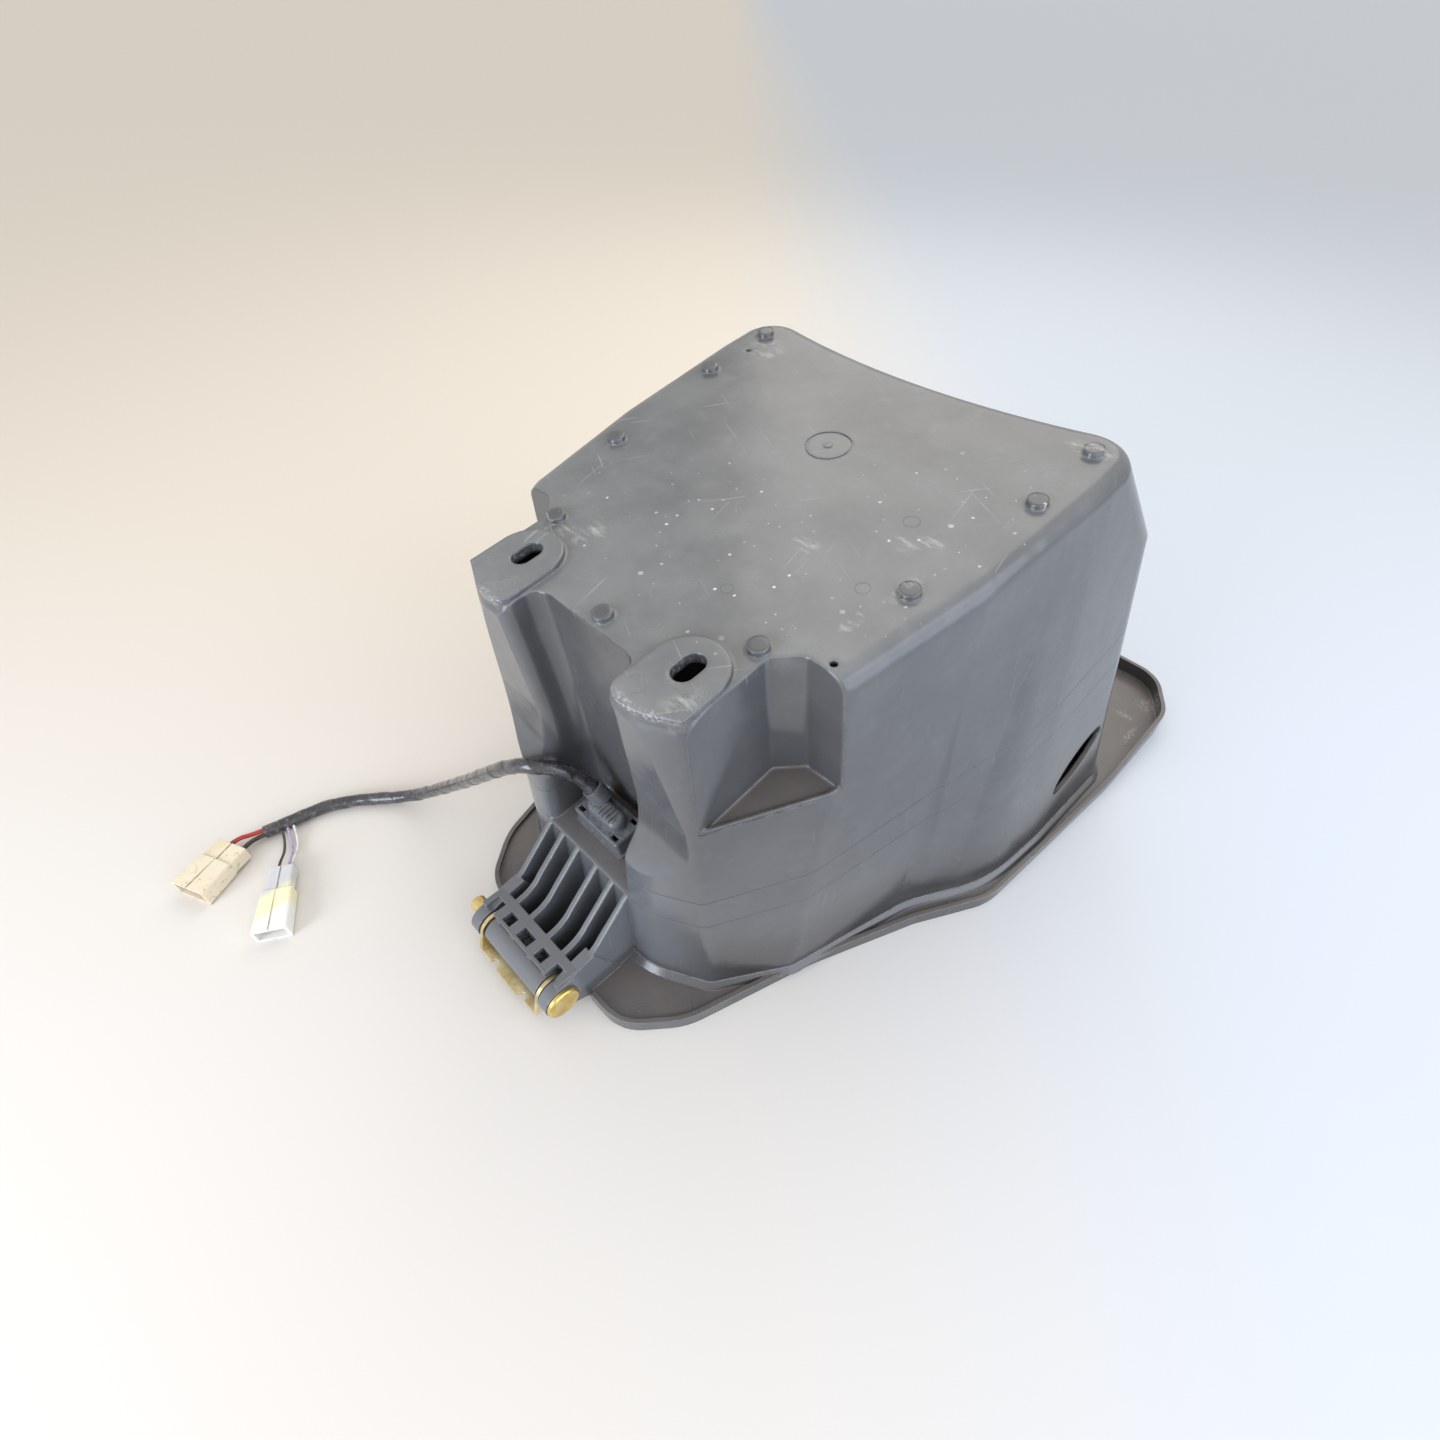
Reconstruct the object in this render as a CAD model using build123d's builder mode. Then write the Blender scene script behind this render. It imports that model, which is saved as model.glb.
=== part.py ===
from build123d import *
from math import atan, cos, degrees, radians, sin, sqrt, tan
import os

# Scooter under-seat storage tub, upside down on its seat rim, with its floor plate uppermost.
# Millimetres. X is across the tub, +Y towards its rear, Z up from the plane that the rim rests on.
# The origin lies on that plane, below the middle of the tub.

# ---- main body of the tub -------------------------------------------------------------------
wall = 3.0                      # wall of the moulding
floor_height = 224.0            # floor plate above the rim plane, over the origin
floor_pitch = 9.0               # the floor plate rises towards the rear, degrees
floor_edge_radius = 9.0         # round between the floor plate and the walls
bulge_share = 0.75              # share of the height at which the rear wall stands furthest back

# Plan of the right half, from the front middle to the rear corner: (x, y) at the rim plane and
# at the floor plate, and the plan radius at each corner. The left half mirrors it.
front_rim = (45.0, -174.5)
front_floor = (50.0, -169.0)
crease_rim = (75.0, -158.0)
crease_floor = (67.0, -161.5)
corner_rim = (98.0, -122.0)
corner_floor = (97.5, -106.0)
waist_rim = (118.0, -46.0)
waist_floor = (107.5, -40.0)
hip_rim = (143.0, -5.0)
hip_floor = (109.5, 8.0)
side_rim = (147.5, 44.0)
side_floor = (111.0, 34.0)
rear_corner_rim = (149.5, 142.0)
rear_corner_floor = (110.0, 70.0)
rear_middle_rim = 112.0
rear_middle_floor = 57.0
rear_bulge_corner = 33.0        # extra reach of the rear wall at the bulge, at its corners
rear_bulge_middle = 25.0        # and in its middle
plan_radii = (38.0, 9.0, 12.0, 60.0, 100.0, 150.0, 20.0)

# ---- rim flange -------------------------------------------------------------------------------
flange_low = 3.6                # underside of the flange above the rim plane
flange_thick = 2.8
lip_thick = 2.6
lip_height = 8.5
rear_lip_height = 16.0
rear_lip_start = 120.0          # y where the lip starts to rise
rim_rear_y = 233.6
rim_points = ((58.0, -206.0), (80.0, -180.0), (102.0, -110.0), (127.0, -50.0), (149.0, -10.0),
              (153.0, 46.0), (158.0, 120.0), (158.0, 196.0), (138.0, 228.5))
rim_radii = (26.0, 45.0, 80.0, 25.0, 40.0, 150.0, 200.0, 26.0, 26.0)
collar_step = 3.2               # collar round the foot of the wall
collar_height = 3.4

# ---- mounting posts, channel and side pockets ---------------------------------------------------
post_x = 50.0                   # middle of each post's slot
post_y = -143.0
post_half_width = 16.5
pad_height = 2.5                # pads stand proud of the floor plate
slot_length = 15.0
slot_width = 10.0
neck_height = 118.0             # the posts are slimmest here
neck_depth = 7.0
pad_front_height = 199.0        # the front of the posts reaches the pads here
post_corner_radius = 6.0        # upright edges between the posts' fronts and the channel
shoulder_height = 84.0
channel_back_floor = -151.6     # back wall of the channel between the posts
channel_back_shelf = -139.0
channel_half_floor = 33.0
channel_half_shelf = 29.0
channel_radius = 9.0
shelf_depth = 133.0             # lamp shelf below the floor plate
pocket_side_floor = 66.5        # wall of the side pocket next to the post
pocket_side_foot = 70.0
pocket_back_floor = -112.0
pocket_back_foot = -106.0
pocket_depth = 62.0             # pocket ledge below the floor plate, at the pocket's back
pocket_cut = 10.0               # slanting wall across the pocket's inner corner
pocket_radius = 4.0
pocket_lip = 1.6

# ---- small features on the floor plate ------------------------------------------------------------
stud_radius = 4.4
stud_height = 2.6
stud_points = ((61.6, -119.4), (86.3, -64.1), (94.8, 7.5), (95.0, 50.0))
middle_stud = (3.0, -145.0)
drain_radius = 1.6
drain_points = ((-91.7, 33.8), (87.0, -107.5))
gate_x = 0.0
gate_y = -8.8
gate_ring_radius = 11.0
gate_ring_width = 0.9
mark_depth = 0.4
rear_rib_x = (0.0, 48.0, 96.0)  # stiffening ribs under the rear shelf, mirrored
rear_rib_thick = 2.0
gate_nub_radius = 2.0

# ---- oval hole in the right wall -------------------------------------------------------------------
oval_length = 52.0
oval_height = 20.0
oval_y = 80.0
oval_z = 46.0
oval_tilt = 20.0

# ---- seat hinge ----------------------------------------------------------------------------------------
pin_y = -220.3
pin_z = 20.7
pin_radius = 4.25
pin_fit = 0.05                  # radial clearance of the pin
pin_tail = 44.0                 # plain end of the pin from the middle
pin_head_radius = 9.0
pin_head_thick = 2.5
pin_head_gap = 0.3
barrel_radius = 8.3
barrel_half = 22.6
leaf_ear_inner = 23.8           # pressed steel ear, inner face
steel_thick = 2.0
leaf_gap = 1.0                  # between steel ear and plastic ear
ear_thick = 6.6                 # plastic ear
ear_radius = 9.6
leaf_ear_radius = 9.0
leaf_reach = 12.3               # hinge leaf, front and back of the pin
leaf_drop = 10.7                # inner face of the leaf below the pin axis
leaf_notch_radius = 2.6
leaf_notch_x = 12.5
leaf_tab_half = 9.0
leaf_tab_reach = 1.0
leaf_bolt_radius = 3.3
leaf_bolt_x = 13.0
leaf_bolt_y = 5.0               # bolt holes behind the pin axis

rib_x = (7.5, 20.1, 31.1)       # middles of the ribs, mirrored
rib_thick = 3.0
rib_middle = 13.8               # middles of the outer deck pockets
deck_height = 34.0              # top of the deck over the hinge barrel
deck_thick = 3.2
deck_front = -220.5
crossbar_front = -212.5
crossbar_back = -207.5
pocket_bar = 1.8                # web between the deck pockets and the deck's front edge
deck_pocket_half = 3.2
middle_pocket_half = 4.8
block_low = 12.4                # underside of the rib pack over the hinge leaf
block_step = -204.6

# ---- compartment lamp ------------------------------------------------------------------------------------
lamp_x = -2.8
lamp_y = -153.0
lamp_length = 34.4
lamp_width = 18.4
lamp_height = 11.4
lamp_wall = 1.6
lamp_skirt = 1.1                # foot of the housing stands out by this much
lamp_skirt_thick = 1.4
lamp_slot = 4.2                 # openings in the corners of the housing's top
dome_length = 25.0
dome_width = 10.4
dome_height = 6.0
dome_grooves = 4
spout_radius = 5.6              # sleeve that the harness leaves by
spout_grip = 4.0                # depth of harness inside it
spout_root = 5.0
cord_fit = 0.08
window_length = 27.0
window_width = 12.0
lens_fit = 0.2
lens_wall = 1.3
lens_stand = 2.4                # lens below the shelf
lens_rim = 1.6                  # rim that rests on the shelf
bulb_radius = 3.9
bulb_length = 15.0
bulb_base_radius = 3.0
bulb_base_length = 4.0
bulb_lift = 4.4                 # bulb axis above the shelf
contact_thick = 0.8
contact_width = 5.0

# ---- harness ------------------------------------------------------------------------------------------------
harness_radius = 4.1
thick_wire_radius = 1.15
thin_wire_radius = 0.75
harness_points = ((-12.0, -153.4, 85.2), (-17.5, -157.0, 95.5), (-21.5, -164.5, 104.5),
                  (-30.0, -174.5, 108.5), (-43.0, -180.5, 102.0), (-62.0, -184.5, 84.0),
                  (-84.0, -188.0, 62.0), (-106.0, -191.5, 41.0), (-127.0, -197.0, 22.0),
                  (-144.0, -205.5, 9.0), (-158.0, -218.0, 4.4), (-171.0, -233.0, 4.2),
                  (-181.0, -251.0, 4.2), (-184.0, -270.0, 4.2), (-187.0, -285.0, 4.2))
red_points = ((-188.324, -284.735, 5.1), (-189.403, -290.128, 5.1), (-192.693, -300.042, 6.1),
              (-188.678, -308.652, 6.1))
black_points = ((-185.921, -285.216, 3.5), (-186.8, -289.61, 3.5), (-183.811, -295.901, 6.1),
                (-179.796, -304.511, 6.1))
violet_points = ((-180.4, -273.63, 4.2), (-174.5, -274.8, 3.8), (-164.0, -278.0, 1.8),
                 (-155.0, -282.918, 5.2), (-146.428, -288.068, 5.2))
thin_black_points = ((-181.1, -276.82, 4.2), (-175.2, -278.0, 3.6), (-166.8, -282.2, 1.6),
                     (-157.884, -287.718, 5.2), (-149.312, -292.868, 5.2))
pale_points = ((-179.7, -270.27, 4.2), (-173.8, -271.2, 3.8), (-163.6, -274.9, 2.0),
               (-154.176, -281.546, 5.2), (-145.604, -286.697, 5.2))

# Connectors: place and direction on the table, and sizes along, across and up.
main_plug_place = (-186.35, -302.05)
main_plug_turn = -65.0          # plan direction of its mouth, degrees
main_block = (12.0, 20.6, 9.4)
main_shell = (21.0, 23.4, 12.2)
main_cell = (7.2, 5.6)
main_pitch = 9.8
main_blade_width = 6.3
branch_plug_place = (-151.95, -287.55)
branch_plug_turn = -31.0
branch_block = (16.0, 13.6, 7.6)
branch_shell = (27.0, 18.8, 10.4)
branch_cell = (5.0, 4.2)
branch_pitch = 6.4
branch_blade_width = 2.8
shell_wall = 1.5
groove_width = 0.9              # grooves between the two cells, above and below
groove_depth = 0.8
shell_mouth = 11.0
cell_fit = 0.08
terminal_start = 1.5            # crimp starts this far inside the block
wire_depth = 5.0                # wire ends this far inside the block
terminal_box = 12.0
blade_thick = 0.8
blade_short = 4.0               # blade ends this far inside the mouth
crimp_wall = 0.5

os.makedirs("parts", exist_ok=True)

floor_slope = tan(radians(floor_pitch))


def level_plane(share, drop=0.0):
    """The plane at a share of the tub's height; at share 1 it is the floor plate's face."""
    angle = atan(floor_slope * share)
    height = floor_height * share - drop / cos(angle)
    return Plane(origin=(0, 0, height), x_dir=(1, 0, 0), z_dir=(0, -sin(angle), cos(angle)))


def on_plane(plane, x, y):
    """Local place on a level plane of the point over (x, y) of the rim plane."""
    return (x, (y - plane.origin.Y) / plane.z_dir.Z)


def plan_corners(share):
    """Right-hand corners of the tub's plan at a share of its height."""
    pairs = ((front_rim, front_floor), (crease_rim, crease_floor), (corner_rim, corner_floor),
             (waist_rim, waist_floor), (hip_rim, hip_floor), (side_rim, side_floor),
             (rear_corner_rim, rear_corner_floor))
    corners = []
    for rim, floor in pairs:
        corners.append((rim[0] + (floor[0] - rim[0]) * share, rim[1] + (floor[1] - rim[1]) * share))
    return corners


def tub_plan(plane, share, rear_out=(0.0, 0.0), grow=0.0):
    """Face of the tub's plan at a share of its height, on the given plane, grown all round."""
    corners = plan_corners(share)
    corners[-1] = (corners[-1][0], corners[-1][1] + rear_out[0])
    rear_middle = rear_middle_rim + (rear_middle_floor - rear_middle_rim) * share + rear_out[1]
    right = [on_plane(plane, x, y) for x, y in corners]
    left = [(-x, y) for x, y in reversed(right)]
    with BuildSketch(plane) as plan:
        with BuildLine():
            Polyline(left + right)
            ThreePointArc(right[-1], on_plane(plane, 0, rear_middle), left[0])
        make_face()
        for (x, y), radius in zip(right, plan_radii):
            for side in (x, -x):
                near = plan.vertices().sort_by_distance(plane.from_local_coords((side, y, 0)))
                fillet(near[0], radius)
        if grow:
            offset(amount=grow, kind=Kind.INTERSECTION)
    return plan.sketch


def pocket_cutter(inset):
    """Room of the pocket beside the right post, open to the front and side."""
    pocket_levels = ((level_plane(1.0, -12), pocket_side_floor, pocket_back_floor),
                     (level_plane(1.0, pocket_depth + inset), pocket_side_foot, pocket_back_foot))
    pocket_sections = []
    for plane, side, back in pocket_levels:
        near = on_plane(plane, side - inset, front_rim[1] - 60)
        far = on_plane(plane, side + 80, back + inset)
        cut = pocket_cut + inset * (2 - sqrt(2))
        cut_ends = ((near[0], far[1] - cut), (near[0] + cut, far[1]))
        with BuildSketch(plane) as pocket_plan:
            with BuildLine():
                Polyline(near, *cut_ends, far, (far[0], near[1]), near)
            make_face()
            for x, y in cut_ends:
                inner = pocket_plan.vertices().sort_by_distance(plane.from_local_coords((x, y, 0)))
                fillet(inner[0], pocket_radius + inset)
        pocket_sections.append(pocket_plan.sketch)
    with BuildPart() as pocket:
        loft(pocket_sections, ruled=True)
    return pocket.part


def post_corner_edges(form):
    """Upright edges where the channel between the posts meets their fronts."""
    found = []
    for edge in form.edges():
        middle = edge.center()
        beside_channel = channel_half_shelf - 2 < abs(middle.X) < channel_half_floor + 2
        rise = abs((edge @ 1).Z - (edge @ 0).Z)
        if beside_channel and middle.Y < channel_back_floor - 4 and rise > floor_edge_radius:
            found.append(edge)
    return found


def tub_form(inset):
    """The tub as a closed body, all faces moved inwards by inset: 0 is the outside."""
    low_share = -0.02 if inset else flange_low / floor_height
    floor_plane = level_plane(1.0, inset)
    bulge_out = (rear_bulge_corner, rear_bulge_middle)
    stations = ((level_plane(low_share), low_share, (0.0, 0.0)),
                (level_plane(bulge_share), bulge_share, bulge_out),
                (floor_plane, 1.0, (0.0, 0.0)))
    sections = [tub_plan(plane, share, rear_out, -inset) for plane, share, rear_out in stations]

    # Front of the posts, drawn in between the shoulder and the pad.
    front = front_floor[1] + inset
    rim_front = front_rim[1] + inset
    top_height = floor_height + 60
    with BuildSketch(Plane.YZ) as neck_profile:
        with BuildLine():
            Polyline((front - 60, shoulder_height - 14), (rim_front - 2, shoulder_height - 14),
                     (rim_front, shoulder_height))
            Spline((rim_front, shoulder_height), (front + neck_depth - 2, neck_height - 10),
                   (front + neck_depth, neck_height + 16), tangents=((0.1, 1), (-0.04, 1)))
            Polyline((front + neck_depth, neck_height + 16), (front - 0.5, pad_front_height),
                     (front - 0.5, top_height), (front - 60, top_height),
                     (front - 60, shoulder_height - 14))
        make_face()

    # Channel between the posts, down to the lamp shelf.
    channel_levels = ((level_plane(1.0, -12), channel_half_floor, channel_back_floor),
                      (level_plane(1.0, shelf_depth + inset), channel_half_shelf, channel_back_shelf))
    channel_sections = []
    for plane, half, back in channel_levels:
        side = half + inset
        low_left = on_plane(plane, -side, front_rim[1] - 60)
        top_right = on_plane(plane, side, back + inset)
        with BuildSketch(plane) as channel_plan:
            with BuildLine():
                Polyline(low_left, (low_left[0], top_right[1]), top_right,
                         (top_right[0], low_left[1]), low_left)
            make_face()
            fillet(channel_plan.vertices().group_by(Axis.Y)[-1], channel_radius + inset)
        channel_sections.append(channel_plan.sketch)

    with BuildPart() as form:
        loft(sections, ruled=True)
        top_edges = form.faces().sort_by(Axis.Z)[-1].edges()
        fillet(top_edges, floor_edge_radius - inset)
        loft(channel_sections, ruled=True, mode=Mode.SUBTRACT)
        extrude(neck_profile.sketch, amount=crease_floor[0] + 30, both=True, mode=Mode.SUBTRACT)
        if not inset:
            fillet(post_corner_edges(form), post_corner_radius)
        pocket = pocket_cutter(inset)
        add(pocket, mode=Mode.SUBTRACT)
        add(pocket.mirror(Plane.YZ), mode=Mode.SUBTRACT)
    return form.part


def rim_plan(plane, inset=0.0):
    """Outline of the seat rim."""
    right = list(rim_points)
    left = [(-x, y) for x, y in reversed(right)]
    with BuildSketch(plane) as plan:
        with BuildLine():
            Polyline(left + right)
            ThreePointArc(right[-1], (0, rim_rear_y), left[0])
        make_face()
        for (x, y), radius in zip(right, rim_radii):
            for side in (x, -x):
                near = plan.vertices().sort_by_distance(plane.from_local_coords((side, y, 0)))
                fillet(near[0], radius)
        if inset:
            offset(amount=-inset, kind=Kind.INTERSECTION)
    return plan.sketch


def box_between(low, high):
    """Box between two corner points."""
    return Solid.make_box(high[0] - low[0], high[1] - low[1], high[2] - low[2], Plane(origin=low))


def lip_ring():
    """Lip round the rim: low at the front and sides, higher round the rear shelf."""
    outer = rim_plan(Plane.XY)
    inner = rim_plan(Plane.XY, lip_thick)
    with BuildPart() as ring:
        with BuildSketch():
            add(outer)
            add(inner, mode=Mode.SUBTRACT)
        extrude(amount=rear_lip_height)
        with BuildSketch(Plane.YZ):
            with BuildLine():
                Polyline((-300, lip_height), (rear_lip_start, lip_height),
                         (rim_rear_y - 30, rear_lip_height), (300, rear_lip_height),
                         (300, 60), (-300, 60), (-300, lip_height))
            make_face()
        extrude(amount=200, both=True, mode=Mode.SUBTRACT)
        add(box_between((-hinge_gap, -260, -1), (hinge_gap, -190, 30)), mode=Mode.SUBTRACT)
    return ring.part


def foot_collar():
    """Collar round the foot of the wall, sloping up from the flange to the wall."""
    sections = []
    for height, reach in ((flange_top, collar_step), (flange_top + collar_height, 0.4)):
        plane = Plane.XY.offset(height)
        sections.append(tub_plan(plane, height / floor_height, grow=reach))
    with BuildPart() as collar:
        loft(sections, ruled=True)
    return collar.part


def ledge_edge():
    """Raised edge along the open side of the right pocket's ledge."""
    plane = level_plane(1.0, pocket_depth + 1)
    share = plane.origin.Z / floor_height
    outer = tub_plan(plane, share, grow=-0.4)
    inner = tub_plan(plane, share, grow=-0.4 - pocket_lip)
    pocket = pocket_cutter(0.5)
    with BuildPart() as edge:
        extrude(outer, amount=pocket_lip + 1)
        extrude(inner, amount=pocket_lip + 2, mode=Mode.SUBTRACT)
        add(pocket, mode=Mode.INTERSECT)
    return edge.part


flange_top = flange_low + flange_thick
ear_inner = leaf_ear_inner + steel_thick + leaf_gap
ear_outer = ear_inner + ear_thick
hinge_gap = ear_outer + 2.0
deck_low = deck_height - deck_thick
pin_hole = pin_radius + pin_fit
plate = level_plane(1.0)
shelf = level_plane(1.0, shelf_depth)
lamp_plane = Plane(origin=(lamp_x, lamp_y, shelf.origin.Z + floor_slope * lamp_y),
                   x_dir=(1, 0, 0), z_dir=shelf.z_dir)
mirrored = (1, -1)

outer_form = tub_form(0.0)
inner_form = tub_form(wall)
lip = lip_ring()
collar = foot_collar()
right_ledge_edge = ledge_edge()

# ---- the moulded tub ------------------------------------------------------------------------------
with BuildPart() as tub:
    add(outer_form)
    add(collar)
    add(right_ledge_edge)
    add(right_ledge_edge.mirror(Plane.YZ))

    # Pads on top of the posts.
    pad_plane = level_plane(1.0, -pad_height)
    for side in mirrored:
        pad_x, pad_y = on_plane(pad_plane, side * post_x, post_y)
        corner_x, front_y = on_plane(pad_plane, side * front_floor[0], front_floor[1] + 0.4)
        crease_y = on_plane(pad_plane, 0, crease_floor[1] + 0.4)[1]
        inner_x = side * (channel_half_floor + 0.3)
        outer_x = side * (post_x + post_half_width)
        with BuildSketch(pad_plane) as pad:
            with BuildLine():
                Polyline((outer_x, pad_y), (outer_x, crease_y), (corner_x, front_y),
                         (inner_x, front_y), (inner_x, pad_y))
                ThreePointArc((inner_x, pad_y), (pad_x, pad_y + post_half_width - 1), (outer_x, pad_y))
            make_face()
            for x, radius in ((corner_x, plan_radii[0] / 2), (inner_x, post_corner_radius)):
                near = pad.vertices().sort_by_distance(pad_plane.from_local_coords((x, front_y, 0)))
                fillet(near[0], radius)
        extrude(amount=-pad_height - 9)

    # Studs and the nub of the gate on the floor plate.
    stud_plane = level_plane(1.0, -stud_height)
    spots = [on_plane(stud_plane, side * x, y) for x, y in stud_points for side in mirrored]
    with BuildSketch(stud_plane):
        with Locations(*spots, on_plane(stud_plane, *middle_stud)):
            Circle(stud_radius)
    extrude(amount=-stud_height - 1.5)
    with BuildSketch(level_plane(1.0, -mark_depth)):
        with Locations(on_plane(plate, gate_x, gate_y)):
            Circle(gate_nub_radius)
    extrude(amount=-mark_depth - 1)

    # Rim flange with its lip, and ribs under the rear shelf.
    with BuildSketch(Plane.XY.offset(flange_low)):
        add(rim_plan(Plane.XY.offset(flange_low)))
    extrude(amount=flange_thick)
    add(lip)
    for x in rear_rib_x:
        for side in (mirrored if x else (1,)):
            low = (side * x - rear_rib_thick / 2, rear_middle_rim - 1, 0.6)
            add(box_between(low, (low[0] + rear_rib_thick, rim_rear_y - 8, flange_low + 1)))

    # Ribs over the hinge, with the ears that carry the pin.
    rib_back = front_rim[1] + 2.2
    shelf_front = shelf.origin.Z + floor_slope * front_rim[1]
    with BuildSketch(Plane.YZ, mode=Mode.PRIVATE) as rib_side:
        with BuildLine():
            Polyline((rib_back, shelf_front), (-192.0, 42.0))
            Spline((-192.0, 42.0), (-199.0, 36.0), (-208.0, deck_height),
                   tangents=((-0.61, -0.79), (-1, 0)))
            Polyline((-208.0, deck_height), (deck_front, deck_height), (deck_front, block_low),
                     (block_step, block_low), (block_step, flange_low + 1),
                     (rib_back, flange_low + 1), (rib_back, shelf_front))
        make_face()
    with BuildSketch(Plane.YZ, mode=Mode.PRIVATE) as ear_side:
        with BuildLine():
            Polyline((pin_y + 2, pin_z + ear_radius - 0.4), (-208.0, deck_height), (-198.0, 36.0),
                     (-190.0, 18.0), (-184.0, flange_low + 1), (-206.0, flange_low + 0.5),
                     (pin_y + 1, pin_z - ear_radius + 0.2), (pin_y + 2, pin_z + ear_radius - 0.4))
        make_face()
        with Locations((pin_y, pin_z)):
            Circle(ear_radius)
    for side in mirrored:
        for x in rib_x:
            with BuildSketch(Plane.YZ.offset(side * x - rib_thick / 2)):
                add(rib_side.sketch_local)
            extrude(amount=rib_thick)
        with BuildSketch(Plane.YZ.offset(ear_inner if side > 0 else -ear_outer)):
            add(ear_side.sketch_local)
        extrude(amount=ear_thick)

    # Crossbar, deck and barrel.
    half_deck = rib_x[2] + rib_thick / 2
    add(box_between((-half_deck, crossbar_front, deck_low), (half_deck, crossbar_back, deck_height)))
    add(box_between((-barrel_half, deck_front, deck_low), (barrel_half, crossbar_back, deck_height)))
    add(box_between((-barrel_half, crossbar_front, block_low), (barrel_half, crossbar_front + 3, deck_low)))
    with BuildSketch(Plane.YZ.offset(-barrel_half)):
        with Locations((pin_y, pin_z)):
            Circle(barrel_radius)
    extrude(amount=2 * barrel_half)
    pockets = ((-rib_middle, deck_pocket_half), (0.0, middle_pocket_half), (rib_middle, deck_pocket_half))
    for x, half in pockets:
        add(box_between((x - half, deck_front + pocket_bar, pin_z + 2),
                        (x + half, crossbar_front - 0.2, deck_height + 1)), mode=Mode.SUBTRACT)
    with BuildSketch(Plane.YZ.offset(-60)):
        with Locations((pin_y, pin_z)):
            Circle(pin_hole)
    extrude(amount=120, mode=Mode.SUBTRACT)

    # Hollow it out.
    add(inner_form, mode=Mode.SUBTRACT)

    # Slots in the post pads.
    slot_spots = [on_plane(pad_plane, side * post_x, post_y) for side in mirrored]
    with BuildSketch(pad_plane):
        with Locations(*slot_spots):
            SlotOverall(slot_length, slot_width, rotation=90)
    extrude(amount=-30, mode=Mode.SUBTRACT)

    # Drain holes, gate ring and the window of the lamp.
    with BuildSketch(plate):
        with Locations(*[on_plane(plate, x, y) for x, y in drain_points]):
            Circle(drain_radius)
    extrude(amount=20, both=True, mode=Mode.SUBTRACT)
    with BuildSketch(plate):
        with Locations(on_plane(plate, gate_x, gate_y)):
            Circle(gate_ring_radius)
            Circle(gate_ring_radius - gate_ring_width, mode=Mode.SUBTRACT)
    extrude(amount=-mark_depth, mode=Mode.SUBTRACT)
    with BuildSketch(lamp_plane.offset(2)):
        Rectangle(window_length, window_width)
    extrude(amount=-wall - 6, mode=Mode.SUBTRACT)

    # Oval hole in the right wall.
    tilt = radians(oval_tilt)
    oval_plane = Plane(origin=(100, oval_y, oval_z), x_dir=(0, cos(tilt), sin(tilt)), z_dir=(1, 0, 0))
    with BuildSketch(oval_plane):
        Ellipse(oval_length / 2, oval_height / 2)
    extrude(amount=90, mode=Mode.SUBTRACT)

tub.part.label = "tub"
export_step(tub.part, "parts/tub.step")

# ---- seat hinge -------------------------------------------------------------------------------------
leaf_top = pin_z - leaf_drop
with BuildPart() as hinge_bracket:
    leaf_half = leaf_ear_inner + steel_thick
    with BuildSketch(Plane.XY.offset(leaf_top - steel_thick)):
        with Locations((0, pin_y)):
            Rectangle(2 * leaf_half, 2 * leaf_reach)
        with Locations((0, pin_y - leaf_reach)):
            Rectangle(2 * leaf_tab_half, 2 * leaf_tab_reach)
        with Locations((leaf_notch_x, pin_y - leaf_reach), (-leaf_notch_x, pin_y - leaf_reach)):
            Circle(leaf_notch_radius, mode=Mode.SUBTRACT)
        with Locations((leaf_bolt_x, pin_y + leaf_bolt_y), (-leaf_bolt_x, pin_y + leaf_bolt_y)):
            Circle(leaf_bolt_radius, mode=Mode.SUBTRACT)
    extrude(amount=steel_thick)
    for start in (leaf_ear_inner, -leaf_half):
        with BuildSketch(Plane.YZ.offset(start)):
            with Locations((pin_y, pin_z)):
                Circle(leaf_ear_radius)
            with Locations((pin_y - leaf_reach + 2, leaf_top - steel_thick / 2),
                           (pin_y + leaf_reach - 2, leaf_top - steel_thick / 2)):
                Rectangle(4, steel_thick)
            make_hull()
        extrude(amount=steel_thick)
    with BuildSketch(Plane.YZ.offset(-60)):
        with Locations((pin_y, pin_z)):
            Circle(pin_hole)
    extrude(amount=120, mode=Mode.SUBTRACT)
    bend = hinge_bracket.edges().filter_by(Axis.Y).group_by(Axis.Z)[0]
    fillet(bend.group_by(Axis.X)[0] + bend.group_by(Axis.X)[-1], steel_thick * 0.9)

hinge_bracket.part.label = "hinge_bracket"
export_step(hinge_bracket.part, "parts/hinge_bracket.step")

with BuildPart() as hinge_pin:
    with BuildSketch(Plane.YZ.offset(-pin_tail)):
        with Locations((pin_y, pin_z)):
            Circle(pin_radius)
    extrude(amount=pin_tail + ear_outer + pin_head_gap)
    with BuildSketch(Plane.YZ.offset(ear_outer + pin_head_gap)):
        with Locations((pin_y, pin_z)):
            Circle(pin_head_radius)
    extrude(amount=pin_head_thick)
    rounds = hinge_pin.edges().filter_by(GeomType.CIRCLE).group_by(Axis.X)
    chamfer(rounds[0] + rounds[-1], 0.8)

hinge_pin.part.label = "hinge_pin"
export_step(hinge_pin.part, "parts/hinge_pin.step")

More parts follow.
